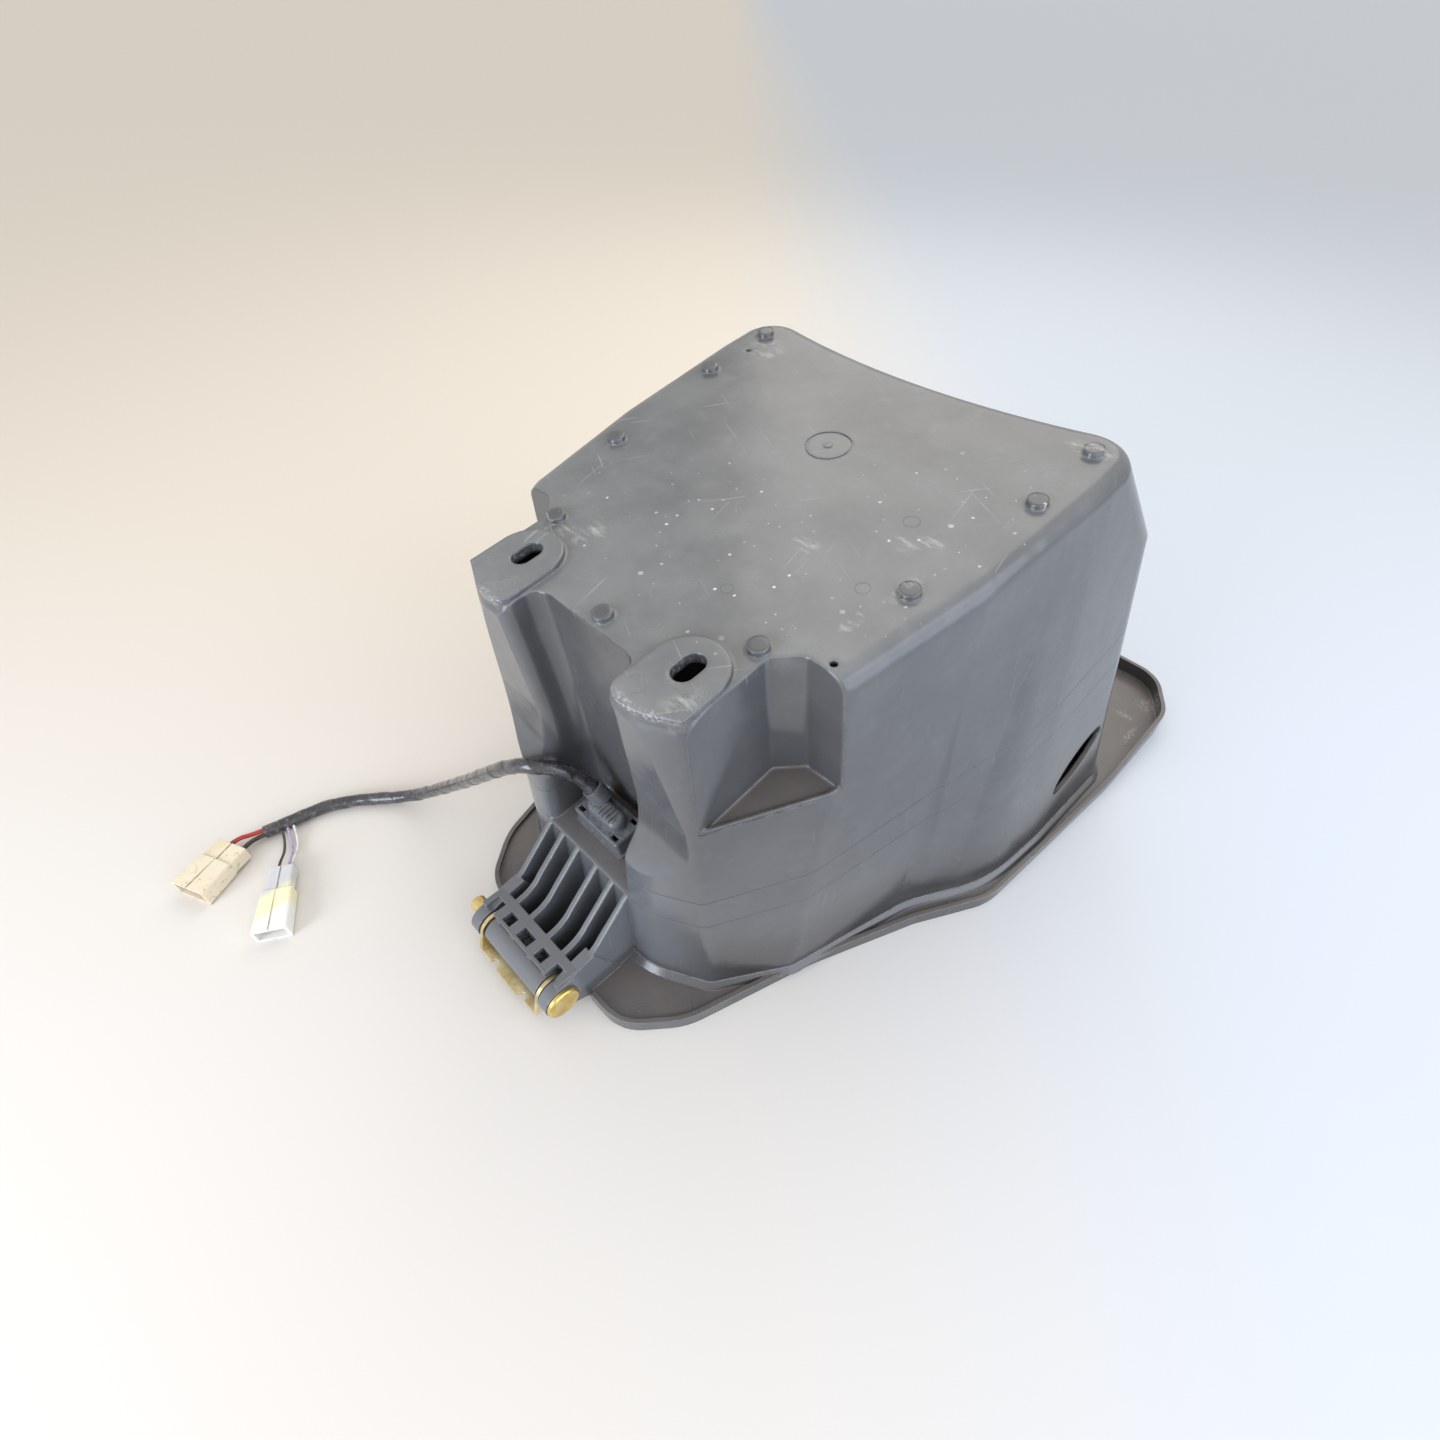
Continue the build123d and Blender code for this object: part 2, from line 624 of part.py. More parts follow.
# ---- compartment lamp -----------------------------------------------------------------------------
spout_start = Vector(*harness_points[0])
spout_axis = (Vector(*harness_points[1]) - spout_start).normalized()
dome_middle = lamp_plane.offset(lamp_height)
with BuildPart() as lamp_housing:
    with BuildSketch(lamp_plane):
        RectangleRounded(lamp_length + 2 * lamp_skirt, lamp_width + 2 * lamp_skirt, 2.2)
    extrude(amount=lamp_skirt_thick)
    with BuildSketch(lamp_plane):
        RectangleRounded(lamp_length, lamp_width, 1.8)
    extrude(amount=lamp_height)
    chamfer(lamp_housing.faces().sort_by(Axis.Z)[-1].edges(), 0.7)
    with BuildSketch(dome_middle):
        SlotOverall(dome_length, dome_width)
    extrude(amount=dome_height)
    fillet(lamp_housing.faces().sort_by(Axis.Z)[-1].edges(), 3)
    with BuildSketch(dome_middle.offset(dome_height - 0.7)):
        for number in range(dome_grooves):
            with Locations((dome_length * (0.1 * number - 0.02), 0)):
                Rectangle(0.8, dome_width + 2)
    extrude(amount=2, mode=Mode.SUBTRACT)
    with BuildSketch(Plane(origin=spout_start - spout_axis * spout_root, z_dir=spout_axis)):
        Circle(spout_radius)
    extrude(amount=spout_root + spout_grip)
    with BuildSketch(Plane(origin=spout_start, z_dir=spout_axis)):
        Circle(harness_radius + cord_fit)
    extrude(amount=spout_grip + 1, mode=Mode.SUBTRACT)
    with BuildSketch(lamp_plane):
        RectangleRounded(lamp_length - 2 * lamp_wall, lamp_width - 2 * lamp_wall, 0.8)
    extrude(amount=lamp_height - lamp_wall, mode=Mode.SUBTRACT)
    with BuildSketch(dome_middle.offset(1)):
        with GridLocations(lamp_length - 2 * lamp_slot, lamp_width - lamp_slot - 1.6, 2, 2):
            Rectangle(lamp_slot, lamp_slot - 1.8)
    extrude(amount=-lamp_wall - 3, mode=Mode.SUBTRACT)

lamp_housing.part.label = "lamp_housing"
export_step(lamp_housing.part, "parts/lamp_housing.step")

with BuildPart() as lamp_lens:
    lens_length = window_length - 2 * lens_fit
    lens_width = window_width - 2 * lens_fit
    with BuildSketch(lamp_plane):
        Rectangle(lens_length + 2 * lens_rim, lens_width + 2 * lens_rim - 0.8)
    extrude(amount=lens_wall)
    with BuildSketch(lamp_plane):
        Rectangle(lens_length, lens_width)
    extrude(amount=-wall - lens_stand)
    fillet(lamp_lens.faces().sort_by(Axis.Z)[0].edges(), 0.8)
    with BuildSketch(lamp_plane.offset(lens_wall)):
        Rectangle(lens_length - 2 * lens_wall, lens_width - 2 * lens_wall)
    extrude(amount=-wall - lens_stand, mode=Mode.SUBTRACT)

lamp_lens.part.label = "lamp_lens"
export_step(lamp_lens.part, "parts/lamp_lens.step")

bulb_middle = Plane(origin=lamp_plane.from_local_coords((0, 0, bulb_lift)),
                    x_dir=lamp_plane.y_dir, z_dir=lamp_plane.x_dir)
with BuildPart() as lamp_bulb:
    with BuildSketch(bulb_middle):
        Circle(bulb_radius)
    extrude(amount=bulb_length / 2, both=True)
    chamfer(lamp_bulb.edges().filter_by(GeomType.CIRCLE), 1.2)
    with BuildSketch(bulb_middle):
        Circle(bulb_base_radius)
    extrude(amount=bulb_length / 2 + bulb_base_length, both=True)
    chamfer(lamp_bulb.faces().sort_by(Axis.X)[-1].edges(), 0.9)
    chamfer(lamp_bulb.faces().sort_by(Axis.X)[0].edges(), 0.9)

lamp_bulb.part.label = "lamp_bulb"
export_step(lamp_bulb.part, "parts/lamp_bulb.step")

for name, side in (("lamp_contact_left", -1), ("lamp_contact_right", 1)):
    with BuildPart() as contact:
        start = bulb_length / 2 + bulb_base_length
        if side < 0:
            start = -start - contact_thick
        contact_plane = Plane(origin=lamp_plane.from_local_coords((start, 0, 0)),
                              x_dir=lamp_plane.y_dir, z_dir=lamp_plane.x_dir)
        with BuildSketch(contact_plane):
            low = lens_wall + 0.4
            with Locations((0, (low + lamp_height - lamp_wall) / 2)):
                Rectangle(contact_width, lamp_height - lamp_wall - low)
        extrude(amount=contact_thick)
    contact.part.label = name
    export_step(contact.part, "parts/" + name + ".step")

# ---- harness and its wires ----------------------------------------------------------------------------
cords = (("harness_cable", harness_points, harness_radius),
         ("red_wire", red_points, thick_wire_radius),
         ("black_wire", black_points, thick_wire_radius),
         ("violet_wire", violet_points, thin_wire_radius),
         ("thin_black_wire", thin_black_points, thin_wire_radius),
         ("pale_wire", pale_points, thin_wire_radius))
for name, points, radius in cords:
    route_points = [Vector(*point) for point in points]
    radii = []
    for before, corner, after in zip(route_points, route_points[1:], route_points[2:]):
        first = corner - before
        second = after - corner
        turn = radians(first.get_angle(second))
        radii.append(0.45 * min(first.length, second.length) / tan(turn / 2))
    with BuildPart() as cord:
        with BuildLine() as route:
            FilletPolyline(*route_points, radius=radii)
        with BuildSketch(Plane(origin=route.line @ 0, z_dir=route.line % 0)):
            Circle(radius)
        sweep()
    length = route.wires()[0].length
    swept = cord.part.volume / (3.141592653589793 * radius ** 2 * length)
    print(name, "length", round(length, 1), "volume over section times length", round(swept, 4))
    print("   bend radii", [round(value, 1) for value in radii])
    cord.part.label = name
    export_step(cord.part, "parts/" + name + ".step")

# ---- connectors -----------------------------------------------------------------------------------------
plugs = (("main_connector_housing", ("main_terminal_red", "main_terminal_black"), main_plug_place,
          main_plug_turn, main_block, main_shell, main_cell, main_pitch, main_blade_width,
          thick_wire_radius),
         ("branch_connector_housing", ("branch_terminal_a", "branch_terminal_b"), branch_plug_place,
          branch_plug_turn, branch_block, branch_shell, branch_cell, branch_pitch, branch_blade_width,
          thin_wire_radius))
for name, terminals, place, turn, block, shell, cell, pitch, blade_width, wire_radius in plugs:
    mouth_way = Vector(cos(radians(turn)), sin(radians(turn)), 0)
    across = Vector(-sin(radians(turn)), cos(radians(turn)), 0)
    rear = Vector(place[0], place[1], shell[2] / 2)
    total = block[0] + shell[0]
    stations = {}
    for along in (0, block[0], total):
        stations[along] = Plane(origin=rear + mouth_way * along, x_dir=across, z_dir=mouth_way)
    with BuildPart() as housing:
        with BuildSketch(stations[0]):
            RectangleRounded(block[1], block[2], 1.2)
        extrude(amount=block[0])
        with BuildSketch(stations[block[0]]):
            RectangleRounded(shell[1] - 2, shell[2] - 1.2, 1.4)
        with BuildSketch(stations[total]):
            RectangleRounded(shell[1], shell[2], 1.4)
        loft()
        with BuildSketch(stations[total]):
            RectangleRounded(shell[1] - 2 * shell_wall, shell[2] - 2 * shell_wall, 0.7)
        extrude(amount=-shell_mouth, mode=Mode.SUBTRACT)
        with BuildSketch(stations[0]):
            with Locations((-pitch / 2, 0), (pitch / 2, 0)):
                Rectangle(*cell)
        extrude(amount=total - 1, mode=Mode.SUBTRACT)
        for along, reach, height in ((0, block[0], block[2]), (total, -shell[0], shell[2])):
            with BuildSketch(stations[along]):
                with Locations((0, height / 2), (0, -height / 2)):
                    Rectangle(groove_width, 2 * groove_depth)
            extrude(amount=reach, mode=Mode.SUBTRACT)
    housing.part.label = name
    export_step(housing.part, "parts/" + name + ".step")

    for terminal_name, side in zip(terminals, (-1, 1)):
        with BuildPart() as terminal:
            middle = across * (side * pitch / 2)
            box_start = wire_depth + 1
            box_plane = Plane(origin=rear + middle + mouth_way * box_start, x_dir=across, z_dir=mouth_way)
            with BuildSketch(box_plane):
                Rectangle(cell[0] - 2 * cell_fit, cell[1] - 2 * cell_fit)
            extrude(amount=terminal_box)
            with BuildSketch(box_plane):
                Rectangle(blade_width, blade_thick)
            extrude(amount=total - blade_short - box_start)
            with BuildSketch(box_plane):
                Rectangle(cell[0] - 2 * cell_fit - 0.4, 2 * (wire_radius + crimp_wall))
            extrude(amount=terminal_start - box_start)
            with BuildSketch(box_plane):
                spots = ((0, 0),)
                if terminal_name == "branch_terminal_b":
                    spots = ((-0.8, 0), (0.8, 0))
                with Locations(*spots):
                    Circle(wire_radius + 0.02)
            extrude(amount=terminal_start - box_start - 1, mode=Mode.SUBTRACT)
        terminal.part.label = terminal_name
        export_step(terminal.part, "parts/" + terminal_name + ".step")
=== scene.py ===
from functools import partial
from math import cos, pi, radians, sin, tan

import bpy
from mathutils import Matrix, Vector


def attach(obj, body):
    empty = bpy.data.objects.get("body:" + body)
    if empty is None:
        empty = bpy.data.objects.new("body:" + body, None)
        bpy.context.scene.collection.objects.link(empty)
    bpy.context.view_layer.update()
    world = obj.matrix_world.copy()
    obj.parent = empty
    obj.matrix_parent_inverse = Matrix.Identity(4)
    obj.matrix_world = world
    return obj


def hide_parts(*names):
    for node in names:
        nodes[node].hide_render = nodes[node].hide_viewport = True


# Scooter under-seat storage tub: floor plate up, standing on its seat rim.
# Objects are in metres, in the part's own frame. Routes, marks and pattern sizes are given in
# millimetres.

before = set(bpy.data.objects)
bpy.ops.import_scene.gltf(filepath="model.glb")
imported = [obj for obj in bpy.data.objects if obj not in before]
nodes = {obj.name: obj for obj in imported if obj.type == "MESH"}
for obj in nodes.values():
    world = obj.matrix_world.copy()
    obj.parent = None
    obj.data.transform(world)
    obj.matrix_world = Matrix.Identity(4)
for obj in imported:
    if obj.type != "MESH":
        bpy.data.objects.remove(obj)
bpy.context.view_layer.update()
TUB = "storage_tub"
MM = 0.001


# ---- camera -----------------------------------------------------------------------------------

EYE = (0.1989, -0.2736, 0.3840)
EYE_RIGHT = (0.7010, 0.7131, 0.0)
EYE_AHEAD = (-0.4923, 0.4839, -0.7236)
SENSOR_WIDTH = 36.0
FOCAL_LENGTH = 18.75


def camera():
    """Camera above the front right corner of the tub, looking back and down."""
    right = Vector(EYE_RIGHT).normalized()
    ahead = Vector(EYE_AHEAD)
    ahead = (ahead - right * ahead.dot(right)).normalized()
    up = right.cross(ahead)
    lens = bpy.data.cameras.new("camera")
    lens.sensor_width = SENSOR_WIDTH
    lens.lens = FOCAL_LENGTH
    lens.clip_start = 0.01
    eye = bpy.data.objects.new("camera", lens)
    bpy.context.scene.collection.objects.link(eye)
    turn = Matrix((right, up, -ahead)).transposed().to_4x4()
    eye.matrix_world = Matrix.Translation(EYE) @ turn
    bpy.context.scene.camera = eye


# ---- materials --------------------------------------------------------------------------------

# Settings that many nodes share.
SMOOTH = {"interpolation_type": "SMOOTHSTEP"}        # map range that eases between its ends
COLOURS = {"data_type": "RGBA", "out": 2}            # mix that blends inputs 6 and 7
TIMES = {"operation": "MULTIPLY"}
PLUS = {"operation": "ADD"}
MINUS = {"operation": "SUBTRACT"}
TIMES_PLUS = {"operation": "MULTIPLY_ADD"}
HIGHER = {"operation": "MAXIMUM"}
UNSIGNED = {"operation": "ABSOLUTE"}
LENGTH = {"operation": "LENGTH", "out": 1}
DOT = {"operation": "DOT_PRODUCT", "out": 1}


def colour(hex_code):
    """Linear colour of an sRGB hex code."""
    parts = [int(hex_code[i:i + 2], 16) / 255 for i in (1, 3, 5)]
    linear = [p / 12.92 if p <= 0.04045 else ((p + 0.055) / 1.055) ** 2.4 for p in parts]
    return (*linear, 1.0)


def put(tree, kind, inputs, out=0, **settings):
    """Adds a shader node with its settings and links: inputs are in order, or named in a dict.
    Gives back the output asked for, or the node itself where out is None."""
    node = tree.nodes.new("ShaderNode" + kind)
    for name, value in settings.items():
        setattr(node, name, value)
    for name, value in (inputs.items() if isinstance(inputs, dict) else enumerate(inputs)):
        if isinstance(value, bpy.types.NodeSocket):
            tree.links.new(value, node.inputs[name])
        else:
            node.inputs[name].default_value = colour(value) if isinstance(value, str) else value
    return node if out is None else node.outputs[out]


def start_material(name):
    """New material, with its put function, its shader, and the place on the surface in mm."""
    material = bpy.data.materials.new(name)
    material.use_nodes = True
    tree = material.node_tree
    tree.nodes.clear()
    add = partial(put, tree)
    shader = add("BsdfPrincipled", (), out=None)
    add("OutputMaterial", (shader.outputs[0],), out=None)
    place = add("VectorMath", (add("TexCoord", (), out="Object"), (1000, 1000, 1000)), **TIMES)
    return material, add, shader, place


def connect(material, shader, **values):
    """Links or sets the shader's sockets, whose names are written with _ for a space."""
    for name, value in values.items():
        socket = shader.inputs[name.replace("_", " ")]
        if isinstance(value, bpy.types.NodeSocket):
            material.node_tree.links.new(value, socket)
        else:
            socket.default_value = value


def spots(add, place, marks):
    """1 in the middles of soft ellipses, 0 outside them: x, y, z and the radii along them."""
    total = 0.0
    for x, y, z, across, along, deep in marks:
        offset = add("VectorMath", (place, (x, y, z)), **MINUS)
        scaled = add("VectorMath", (offset, (1 / across, 1 / along, 1 / deep)), **TIMES)
        spot = add("MapRange", (add("VectorMath", (scaled,), **LENGTH), 1.0, 0.35), **SMOOTH)
        total = add("Math", (total, spot), **HIGHER)
    return total


def worn_edge(add, radius):
    """1 on sharp edges, 0 on flats and in soft bends."""
    rounded = add("Bevel", (radius * MM,), samples=6)
    agree = add("VectorMath", (rounded, add("NewGeometry", (), out="Normal")), **DOT)
    return add("MapRange", (agree, 0.98, 0.80), **SMOOTH)


# The floor plate's height over the origin, and its rise towards the rear.
PLATE_HEIGHT = 224.0
PLATE_RISE = tan(radians(9.0))

# Marks on the floor plate, the posts' pads and the rim: x, y, z and the radii along them.
CHALKY_SMEARS = ((-47, -121, 204.6, 13, 6, 8), (-40, -112, 206, 9, 5, 8), (68, -43, 217, 9, 5, 8),
                 (76, -36, 218, 8, 4, 8), (60, -155, 199, 9, 13, 8), (93, 52, 232, 14, 8, 8),
                 (84, -62, 213, 5, 12, 8), (-84, 40, 230, 14, 12, 8), (38, -66, 213, 9, 5, 8),
                 (79, -88, 210, 4, 8, 8))
PAD_SCUFFS = ((42, -168, 199, 13, 3.5, 4), (57, -166, 199, 9, 3.5, 4),
              (-42, -168, 199, 12, 2.5, 4), (50, -143, 201, 8.5, 11, 4),
              (-50, -143, 201, 8, 10.5, 4), (62, -150, 200, 5, 12, 4))
RIM_RUBS = ((137, 184, 7, 9, 3, 6), (148, 168, 7, 3, 14, 6), (145, 205, 10, 12, 12, 9))
SPRAYED = ((30, -75, 212, 90, 85, 40), (-15, -95, 210, 70, 60, 40), (75, -20, 220, 50, 70, 40))

# Rings that ejector pins left: x, y and radius.
PIN_RINGS = ((41.0, -160.0, 4.2), (-41.0, -160.0, 4.2), (-36.4, -100.1, 2.6), (62.0, -30.0, 3.4),
             (30.0, -104.0, 2.6), (71.0, -72.0, 3.0))

# Studs on the floor plate: x and y, their height, and how far their darkened tops reach.
STUDS = ((61.6, -119.4), (-61.6, -119.4), (86.3, -64.1), (-86.3, -64.1), (94.8, 7.5),
         (-94.8, 7.5), (95.0, 50.0), (-95.0, 50.0), (3.0, -145.0))
STUD_HEIGHT = 2.6
STUD_REACH = 6.2

# Parting lines of the mould: depth under the floor plate and half the line's width.
PARTING_LINES = ((113.7, 0.45), (134.0, 0.35))

# Specks of dried spray: size of the cells, radius of a dot as a share of that, the share of cells
# without one, and how strongly the dots show.
SPECKS = ((9.0, 0.090, 0.84, 0.95), (5.5, 0.085, 0.86, 0.60), (26.0, 0.055, 0.74, 0.45))

# Hairline scratches: turn in degrees, squeeze of the noise along them (less is longer), and the
# noise level at which one starts.
SCRATCHES = ((25, 0.03, 0.705), (-50, 0.04, 0.71), (80, 0.03, 0.72))


def polypropylene():
    """Injection-moulded grey-black polypropylene: satin, a fine spark-eroded grain, grazes that
    turn chalky, brown dust on the ledges and pale specks of dried spray on the floor plate."""
    material, add, shader, place = start_material("moulded_polypropylene")
    y, z = [add("SeparateXYZ", (place,), out=axis) for axis in "YZ"]
    up = add("SeparateXYZ", (add("NewGeometry", (), out="Normal"),), out="Z")
    facing_up = add("MapRange", (up, 0.55, 0.97), **SMOOTH)
    upright = add("MapRange", (facing_up, 0.5, 0.0), **SMOOTH)
    plate_level = add("Math", (y, PLATE_RISE, PLATE_HEIGHT), **TIMES_PLUS)
    below_plate = add("Math", (plate_level, z), **MINUS)
    on_plate = add("MapRange", (below_plate, 9.0, 2.0), **SMOOTH)

    # Flow and handling tone, in lumps of 90 mm and 14 mm.
    flow = add("TexNoise", {"Vector": place, "Scale": 1 / 90, "Detail": 3, "Roughness": 0.55})
    flow = add("MapRange", (flow, 0.35, 0.68), **SMOOTH)
    base = add("Mix", {0: flow, 6: "#4b4c4e", 7: "#565759"}, **COLOURS)
    haze = add("TexNoise", {"Vector": place, "Scale": 1 / 14, "Detail": 6, "Roughness": 0.65})
    hazy = add("Math", (add("MapRange", (haze, 0.48, 0.72), **SMOOTH),
                        add("Math", (on_plate, 0.16, 0.08), **TIMES_PLUS)), **TIMES)
    base = add("Mix", {0: hazy, 6: base, 7: "#7c7e80"}, **COLOURS)

    # A grey film on the plate's top, broken into clouds of 45 mm, heavier at the front: partly
    # dust, partly painted sheen that lightens the plate.
    clouds = add("TexNoise", {"Vector": place, "Scale": 1 / 45, "Detail": 5, "Roughness": 0.6})
    film = add("Math", (add("MapRange", (clouds, 0.30, 0.66, 0.30, 0.55), **SMOOTH),
                        add("Math", (facing_up, on_plate), **TIMES)), **TIMES)
    film = add("Math", (film, add("MapRange", (y, -150.0, 80.0, 1.40, 0.40))), **TIMES)
    base = add("Mix", {0: film, 6: base, 7: "#838483"}, **COLOURS)

    # Painted cool reflection: the hinge block and lamp shelf are tinted lighter and bluer.
    front = add("MapRange", (y, -158.0, -176.0), **SMOOTH)
    raised = add("MapRange", (z, 12.0, 18.0), **SMOOTH)
    on_block = add("Math", (front, raised), **TIMES)
    base = add("Mix", {0: add("Math", (on_block, 0.30), **TIMES), 6: base, 7: "#868c94"},
               **COLOURS)

    # Brown dust on the flange and the pocket ledges, less of it on the hinge block.
    low = add("MapRange", (below_plate, 25.0, 55.0), **SMOOTH)
    patches = add("TexNoise", {"Vector": place, "Scale": 1 / 22, "Detail": 4, "Roughness": 0.6})
    dust = add("Math", (add("MapRange", (patches, 0.25, 0.70, 0.35, 0.80), **SMOOTH),
                        add("Math", (facing_up, low), **TIMES)), **TIMES)
    dust = add("Math", (dust, add("Math", (on_block, -0.65, 1.0), **TIMES_PLUS)), **TIMES)
    base = add("Mix", {0: dust, 6: base, 7: "#69605a"}, **COLOURS)

    # Painted dark reflection low on the walls, above the flange, broken into patches.
    painted_low_reflection = add("Math", (add("MapRange", (z, 62.0, 14.0, 0.0, 0.62), **SMOOTH), upright), **TIMES)
    for share in (add("MapRange", (patches, 0.15, 0.55, 0.45, 1.0), **SMOOTH),
                  add("MapRange", (y, -165.0, -150.0), **SMOOTH)):
        painted_low_reflection = add("Math", (painted_low_reflection, share), **TIMES)
    base = add("Mix", {0: painted_low_reflection, 6: base, 7: "#2f2c2a"}, **COLOURS)

    # The studs' tops are darker than the plate around them.
    tops = [(stud_x, stud_y, PLATE_HEIGHT + stud_y * PLATE_RISE + STUD_HEIGHT,
             STUD_REACH, STUD_REACH, STUD_REACH) for stud_x, stud_y in STUDS]
    darkened_stud_tops = add("Math", (spots(add, place, tops), 0.85), **TIMES)
    base = add("Mix", {0: darkened_stud_tops, 6: base, 7: "#454649"}, **COLOURS)

    # Chalky smears, brushed in streaks of about 4 mm, then scuffed pads and a rubbed rim.
    streaked = add("VectorMath", (place, (0.45, 1.4, 1.0)), **TIMES)
    brushed = add("TexNoise", {"Vector": streaked, "Scale": 1 / 4, "Detail": 8,
                               "Roughness": 0.72})
    smears = add("Math", (spots(add, place, CHALKY_SMEARS),
                          add("MapRange", (brushed, 0.44, 0.70, 0.0, 0.62), **SMOOTH)), **TIMES)
    fine = add("TexNoise", {"Vector": place, "Scale": 1 / 1.6, "Detail": 6, "Roughness": 0.75})
    scuffs = add("Math", (spots(add, place, PAD_SCUFFS + RIM_RUBS),
                          add("MapRange", (fine, 0.46, 0.64, 0.0, 0.70), **SMOOTH)), **TIMES)
    grazed = add("Math", (smears, scuffs), **HIGHER)
    base = add("Mix", {0: grazed, 6: base, 7: "#c3c4bf"}, **COLOURS)

    # Hairline scratches, most of them on the plate, where things were slid over it.
    scratches = 0.0
    for turn, squeeze, level in SCRATCHES:
        turned = add("VectorRotate", {"Vector": place, "Angle": radians(turn)},
                     rotation_type="Z_AXIS")
        turned = add("VectorMath", (turned, (squeeze, 1.0, 0.05)), **TIMES)
        hair = add("TexNoise", {"Vector": turned, "Scale": 1 / 1.4, "Detail": 2,
                                "Roughness": 0.4})
        hair = add("MapRange", (hair, level, level + 0.03), **SMOOTH)
        scratches = add("Math", (scratches, hair), **HIGHER)
    slid = add("TexNoise", {"Vector": place, "Scale": 1 / 55, "Detail": 2, "Roughness": 0.5})
    slid = add("Math", (add("MapRange", (slid, 0.42, 0.62), **SMOOTH),
                        add("Math", (on_plate, 0.85, 0.15), **TIMES_PLUS)), **TIMES)
    scratches = add("Math", (scratches, slid), **TIMES)
    pale = add("Math", (scratches, 0.40), **TIMES)
    base = add("Mix", {0: pale, 6: base, 7: "#b2b4b3"}, **COLOURS)

    # Pale specks of dried spray, dots of 0.9 to 3 mm in a few of the cells, with wavering edges.
    specks = 0.0
    wobble = add("TexNoise", {"Vector": place, "Scale": 1 / 2.0, "Detail": 2}, out="Color")
    wobbled = add("VectorMath", (wobble, (0.8, 0.8, 0.0), place), **TIMES_PLUS)
    for cell, size, limit, weight in SPECKS:
        cells = add("TexVoronoi", {"Vector": wobbled, "Scale": 1 / cell}, out=None,
                    voronoi_dimensions="2D")
        chance = add("SeparateXYZ", (cells.outputs["Color"],))
        dot = add("MapRange", (cells.outputs["Distance"], size, size * 0.6, 0.0, weight),
                  **SMOOTH)
        chosen = add("MapRange", (chance, limit, limit + 0.12), **SMOOTH)
        specks = add("Math", (specks, add("Math", (dot, chosen), **TIMES)), **HIGHER)
    for share in (on_plate, spots(add, place, SPRAYED)):
        specks = add("Math", (specks, share), **TIMES)
    base = add("Mix", {0: add("Math", (specks, 0.9), **TIMES), 6: base, 7: "#dcddd9"},
               **COLOURS)

    # Edges rubbed paler.
    rubbed = add("TexNoise", {"Vector": place, "Scale": 1 / 5, "Detail": 4, "Roughness": 0.6})
    edges = add("Math", (worn_edge(add, 0.9),
                         add("MapRange", (rubbed, 0.35, 0.6, 0.0, 0.45), **SMOOTH)), **TIMES)
    base = add("Mix", {0: edges, 6: base, 7: "#a0a2a4"}, **COLOURS)

    # Parting lines, one along the side walls and one round the lamp shelf.
    lines = 0.0
    for depth, half_width in PARTING_LINES:
        away = add("Math", (add("Math", (below_plate, depth), **MINUS),), **UNSIGNED)
        line = add("MapRange", (away, half_width, half_width * 0.3), **SMOOTH)
        lines = add("Math", (lines, line), **HIGHER)
    lines = add("Math", (lines, upright), **TIMES)
    base = add("Mix", {0: add("Math", (lines, 0.45), **TIMES), 6: base, 7: "#35363a"},
               **COLOURS)

    # Fine rings of the ejector pins, on the pads and plate, seen as grooves only.
    rings = 0.0
    from_above = add("VectorMath", (place, (1, 1, 0)), **TIMES)
    for pin_x, pin_y, radius in PIN_RINGS:
        offset = add("VectorMath", (from_above, (pin_x, pin_y, 0)), **MINUS)
        out = add("VectorMath", (offset,), **LENGTH)
        away = add("Math", (add("Math", (out, radius), **MINUS),), **UNSIGNED)
        ring = add("MapRange", (away, 0.35, 0.1), **SMOOTH)
        rings = add("Math", (rings, ring), **HIGHER)
    rings = add("Math", (rings, on_plate), **TIMES)

    # Satin where it is clean, duller under dust and where it is grazed.
    rough = add("Math", (haze, 0.10, 0.15), **TIMES_PLUS)
    for share, weight in ((film, 0.12), (grazed, 0.30), (dust, 0.16)):
        rough = add("Math", (share, weight, rough), **TIMES_PLUS)

    # Spark-eroded grain is 0.2 mm, drawn at 0.7 mm so that it shows. Sink and warp are 30 mm.
    relief = 0.0
    for size, detail, height in ((0.7, 2, 0.0022), (30, 2, 0.50), (5, 3, 0.012)):
        lumps = add("TexNoise", {"Vector": place, "Scale": 1 / size, "Detail": detail,
                                 "Roughness": 0.5})
        relief = add("Math", (lumps, height, relief), **TIMES_PLUS)
    for share, height in ((lines, -0.12), (rings, -0.12), (specks, 0.06), (scratches, -0.03)):
        relief = add("Math", (share, height, relief), **TIMES_PLUS)

    # Edges are rounder on the body than on the thin ribs and lips.
    softness = add("MapRange", (z, 36.0, 60.0, 0.7 * MM, 2.6 * MM))
    soft_edges = add("Bevel", (softness,), samples=8)
    bump = add("Bump", {"Height": relief, "Distance": MM, "Normal": soft_edges})
    connect(material, shader, Base_Color=base, Roughness=rough, IOR=1.49,
            Specular_IOR_Level=0.75, Normal=bump)
    return material


